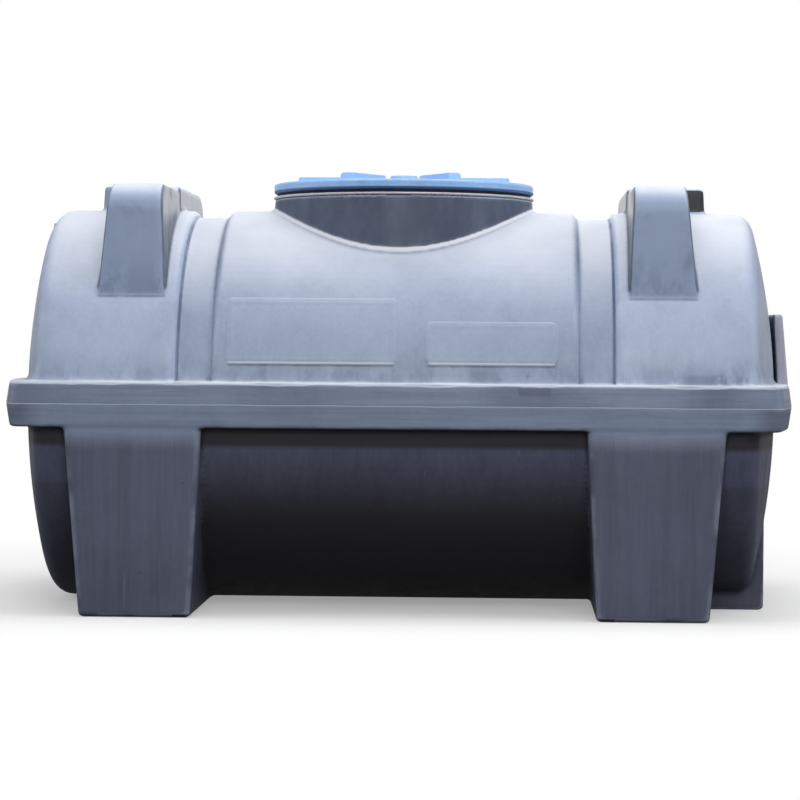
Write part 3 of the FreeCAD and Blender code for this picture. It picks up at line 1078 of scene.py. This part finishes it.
# %% [markdown]
# One mesh of half a million triangles is clumsy, so it is cut into six pieces: upper
# and lower half, each with a left end, a middle and a right end. The cuts run along
# the floors of the grooves and the parting line. Each piece keeps the vertex normals
# of the whole, and that is why no cut shows as a line in the gloss.

# %% Measure the faces before the cut
mouth_margin = 0.004

mesh = body.data
whole_normals = rows(mesh.vertex_normals, "vector").ravel()
mesh.attributes.new("whole_normal", "FLOAT_VECTOR", "POINT").data.foreach_set("vector", whole_normals)
centres = rows(mesh.polygons, "center")
from_axis = np.hypot(centres[:, 0], centres[:, 1])
in_neck = (centres[:, 2] > neck_top - mouth_margin) & (from_axis < neck_radius - mouth_margin)
is_upper = centres[:, 2] > parting_level
print("upper", int(is_upper.sum()), "faces, lower", int((~is_upper).sum()), "faces")


# %% Cut the skin into six pieces
def cut_out(name, wanted):
    """An object with the wanted faces of the body."""
    bm = bmesh.new()
    bm.from_mesh(body.data)
    away = [face for face, stays in zip(bm.faces, wanted) if not stays]
    bmesh.ops.delete(bm, geom=away, context="FACES")
    made = smooth_faces(mesh_object(name, bm))
    kept_normals = made.data.attributes["whole_normal"]
    normals = rows(kept_normals.data, "vector")
    made.data.attributes.remove(kept_normals)
    made.data.normals_split_custom_set_from_vertices(normals)
    return made


def span_of(node_name):
    """The part of the tank that a node's name tells: left, right or else middle."""
    return next((side for side in sides if side in node_name.split("_")), "middle")


end_line = (groove_inner + groove_outer) / 2
spans = {"left": (-9, -end_line), "middle": (-end_line, end_line), "right": (end_line, 9)}
halves = {"upper": (upper_nodes, is_upper), "lower": (lower_nodes, ~is_upper)}
for level, (node_names, in_half) in halves.items():
    for part, (x_low, x_high) in spans.items():
        in_span = (centres[:, 0] > x_low) & (centres[:, 0] <= x_high)
        skin = cut_out(f"{level}_shell_{part}", in_half & in_span & ~in_neck)
        skin.data.materials.append(tank_finish)
        stood_for = [node_name for node_name in node_names if span_of(node_name) == part]
        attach(skin, "tank")
        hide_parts(*stood_for)
        print(skin.name, len(skin.data.polygons), "faces, stands for", len(stood_for), "solids")
bpy.data.objects.remove(body)

# %% [markdown]
# ## The inside
#
# With the lid off, the manway shows the inside of the drum. The solid model is hollow
# there, so its inward faces are copied into one liner, and no new shape is needed.

# %% Line the inside
manway_depth = 0.12
weld = 1e-5


def faces_inward(face):
    """True for a face that looks at the drum's axis, or at the manway's."""
    centre = face.calc_center_median()
    nearest = Vector((max(-band_end, min(band_end, centre.x)), 0, axis_level))
    to_axis = (nearest - centre).normalized()
    to_manway = Vector((-centre.x, -centre.y, 0)).normalized()
    in_manway = centre.xy.length < neck_radius and centre.z > barrel_top - manway_depth
    return face.normal.dot(to_axis) > 0.3 or (in_manway and face.normal.dot(to_manway) > 0.6)


hollow_words = ("upper", "lower", "strap", "manway")
liner_mesh = gathered([n for n in upper_nodes + lower_nodes if n.startswith(hollow_words)])
bmesh.ops.remove_doubles(liner_mesh, verts=liner_mesh.verts, dist=weld)
liner_mesh.normal_update()
outward = [face for face in liner_mesh.faces if not faces_inward(face)]
bmesh.ops.delete(liner_mesh, geom=outward, context="FACES")
liner = smooth_faces(mesh_object("inner_liner", liner_mesh))
liner.data.materials.append(liner_finish)
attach(liner, "tank")
print("liner", len(liner.data.polygons), "faces")

# %% [markdown]
# ## The raised panels
#
# Two bare plates stand three millimetres out of the front at their foot and less at
# their top, each with a faint raised border. A plate is a fine grid laid on the drum.
# The height of every grid point comes from its distance to the plate's rounded outline.

# %% How high a plate stands
side_radius = 0.4105
side_centre = 0.0495
plate_height = 0.003
plate_edge = 0.0032
plate_sink = 0.0012
border_inset = 0.011
border_width = 0.0032
border_height = 0.00045
lost_at_top = 0.7
grid_step = 0.002


def ease(value):
    """A smooth step from 0 to 1."""
    value = np.clip(value, 0, 1)
    return value * value * (3 - 2 * value)


def outline_depth(x, z, x_half, z_half, corner):
    """How far a point lies inside a rounded rectangle about the origin."""
    dx = np.abs(x) - (x_half - corner)
    dz = np.abs(z) - (z_half - corner)
    outside = np.hypot(np.maximum(dx, 0), np.maximum(dz, 0))
    return corner - outside - np.minimum(np.maximum(dx, dz), 0)


def plate_rise(depth, share_up):
    """How far a plate stands out; share_up runs from 0 at its foot to 1 at its top."""
    height = plate_height * (1 - lost_at_top * ease(share_up))
    rise = ease(depth / plate_edge) * (height + plate_sink) - plate_sink
    return rise + border_height * ease(1.5 - np.abs(depth - border_inset) / border_width)


print("plate", plate_height * 1000, "mm high, border", border_inset * 1000, "mm in")


# %% Raise the panels
def raised_panel(node_name, corner):
    """A plate on the drum's front in the place of a CAD panel."""
    low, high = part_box(node_name)
    x_half, z_half = (high.x - low.x) / 2, (high.z - low.z) / 2
    x_mid, z_mid = (high.x + low.x) / 2, (high.z + low.z) / 2
    across = int(2 * x_half / grid_step) + 1
    up = int(2 * z_half / grid_step) + 1
    x, z = np.meshgrid(np.linspace(-x_half, x_half, across), np.linspace(-z_half, z_half, up))
    depth = outline_depth(x, z, x_half, z_half, corner)
    drum = side_centre + np.sqrt(side_radius**2 - (z + z_mid - axis_level) ** 2)
    y = -(drum + plate_rise(depth, 0.5 + 0.5 * z / z_half))
    points = np.stack((x + x_mid, y, z + z_mid), axis=-1).reshape(-1, 3)
    bm = bmesh.new()
    verts = [bm.verts.new(point) for point in points]
    for row in range(up - 1):
        for column in range(across - 1):
            first = row * across + column
            bm.faces.new([verts[i] for i in (first, first + 1, first + across + 1, first + across)])
    past_corner = [vert for vert, inside in zip(verts, depth.ravel()) if inside < -grid_step / 2]
    bmesh.ops.delete(bm, geom=past_corner, context="VERTS")
    made = smooth_faces(mesh_object(node_name + "_plate", bm))
    made.data.materials.append(panel_finish)
    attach(made, "tank")
    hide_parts(node_name)
    print(made.name, len(made.data.polygons), "faces")


raised_panel("wide_panel", 0.012)
raised_panel("narrow_panel", 0.016)

# %% [markdown]
# ## The tab on the right end
#
# A thick upright tab grows out of the rim and stands a few millimetres clear of the
# drum. Melted with the rest it would close that narrow slit, so it gets a finer melt
# of its own, and its foot is drawn a little down into the rim.

# %% Round the end tab
tab_voxel = 0.003
tab_rounds = 5
tab_foot = 0.007
tab_foot_from = 0.004

tab_mesh = gathered(["end_tab"])
tab_bottom = min(vert.co.z for vert in tab_mesh.verts)
for vert in tab_mesh.verts:
    if vert.co.z < tab_bottom + tab_foot_from:
        vert.co.z -= tab_foot
tab = mesh_object("rounded_tab", tab_mesh)
melt(tab, tab_voxel)
soften(tab, tab_rounds)
smooth_faces(baked(tab))
tab.data.materials.append(tab_finish)
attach(tab, "tank")
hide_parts("end_tab")
print("tab", len(tab.data.polygons), "faces")

# %% [markdown]
# ## The solids that stay
#
# The lid, its bars, the seal and the lip have their right shape in the solid model
# already. They keep it and get a finish.

# %% Give the remaining solids their finish
bar_count = 6
lid_nodes = ["lid_disc", "lid_spigot", "lid_hub"]
lid_nodes += [f"lid_bar_{number}" for number in range(1, bar_count + 1)]
kept = {"neck_lip": lip_finish, "lid_seal": seal_finish, **dict.fromkeys(lid_nodes, lid_finish)}
for node_name, finish in kept.items():
    mesh = nodes[node_name].data
    mesh.materials.clear()
    mesh.materials.append(finish)
print("dressed", len(kept), "solids")

# %% [markdown]
# ## Floor, backdrop and light
#
# The photograph stands on plain white. A floor that is white to the camera and dark
# grey to everything else gives that white and still keeps the shadow, while it throws
# little light up at the dark underside. Further out it turns into pure white, so no
# horizon shows. A gloss on the tank sees only a share of the white floor and sky,
# because few real surroundings are as bright as an all-white studio.

# %% Lay the floor
floor_radius = 30
floor_gap = 0.0005
fade_from, fade_to = 0.9, 2.2
white_near = 0.3
floor_gloss_share = 0.15


def seen_directly(tree, gloss_share):
    """1 for what the camera sees directly, a share for what a gloss reflects, else 0."""
    ray = place(tree, "ShaderNodeLightPath").outputs
    reflected = product(tree, ray["Is Glossy Ray"], gloss_share)
    return larger(tree, ray["Is Camera Ray"], ray["Is Transmission Ray"], reflected)


floor_mesh = bmesh.new()
bmesh.ops.create_circle(floor_mesh, cap_ends=True, segments=96, radius=floor_radius)
floor = mesh_object("floor", floor_mesh)
floor.location.z = cad_low.z - floor_gap
floor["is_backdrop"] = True

floor_finish = bpy.data.materials.new("pale floor")
floor_finish.use_nodes = True
tree = floor_finish.node_tree
tree.nodes.clear()
direct = seen_directly(tree, floor_gloss_share)
tone = mix_colour(tree, direct, (0.07, 0.07, 0.07, 1), (0.93, 0.93, 0.93, 1))
matt = place(tree, "ShaderNodeBsdfDiffuse", {"Color": tone})
glow = place(tree, "ShaderNodeEmission", {"Color": (1, 1, 1, 1), "Strength": direct})
spot = place(tree, "ShaderNodeTexCoord").outputs["Object"]
reach = place(tree, "ShaderNodeVectorMath", {0: spot}, operation="LENGTH").outputs["Value"]
far = remap(tree, reach, fade_from, fade_to, white_near, 1.0)
blend = place(tree, "ShaderNodeMixShader", {0: far, 1: matt.outputs[0], 2: glow.outputs[0]})
place(tree, "ShaderNodeOutputMaterial", {"Surface": blend.outputs[0]})
floor.data.materials.append(floor_finish)
print("floor radius", floor_radius, "m")

# %% Light from all around
fill_strength = 0.2
sky_gloss_share = 0.6

world = bpy.data.worlds.new("studio")
bpy.context.scene.world = world
world.use_nodes = True
tree = world.node_tree
tree.nodes.clear()
direct = seen_directly(tree, sky_gloss_share)
strength = total(tree, product(tree, direct, 1 - fill_strength), fill_strength)
sky = place(tree, "ShaderNodeBackground", {"Color": (1, 1, 1, 1), "Strength": strength})
place(tree, "ShaderNodeOutputWorld", {"Surface": sky.outputs[0]})
print("even light", fill_strength)

# %% [markdown]
# Five wide lamps do the rest. The one overhead lights what faces up, the pair at the
# front and back light the long sides, and the two at the ends keep the domes round.
# Wide lamps give soft shadows, as an overcast day does. Small ones would draw hard
# edges under the lugs that the photograph doesn't have.

# %% Place the lamps
lamp_table = (
    ("overhead", (0.1, -0.3, 4.2), (0, 0, 0.4), 4.0, 112),
    ("front_fill", (0.5, -4.8, 2.4), (0, 0, 0.6), 3.0, 92),
    ("back_fill", (0.3, 4.8, 2.4), (0, 0, 0.6), 3.0, 55),
    ("left_fill", (-4.2, -1.2, 2.2), (-0.6, 0, 0.6), 3.0, 55),
    ("right_fill", (4.2, -1.2, 2.8), (0.6, 0, 0.6), 3.0, 72),
)
for name, lamp_place, target, size, power in lamp_table:
    data = bpy.data.lights.new(name, "AREA")
    data.shape = "SQUARE"
    data.size = size
    data.energy = power
    lamp = bpy.data.objects.new(name, data)
    bpy.context.scene.collection.objects.link(lamp)
    lamp.location = lamp_place
    lamp.rotation_euler = (Vector(target) - Vector(lamp_place)).to_track_quat("-Z", "Y").to_euler()
    print("lamp", name, power, "W")
bpy.context.scene.view_settings.view_transform = "Standard"

# %% [markdown]
# ## The two boxes
#
# The last cell prints how far each side of the dressed tank's box lies from the solid
# one's, in millimetres. The dressed tank may not outgrow the solid one.

# %% Print how far the two boxes differ
seen_low, seen_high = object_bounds()
growth = [round(v * 1000, 2) for v in (*(seen_low - cad_low), *(seen_high - cad_high))]
print("visual box minus CAD box, mm", growth)
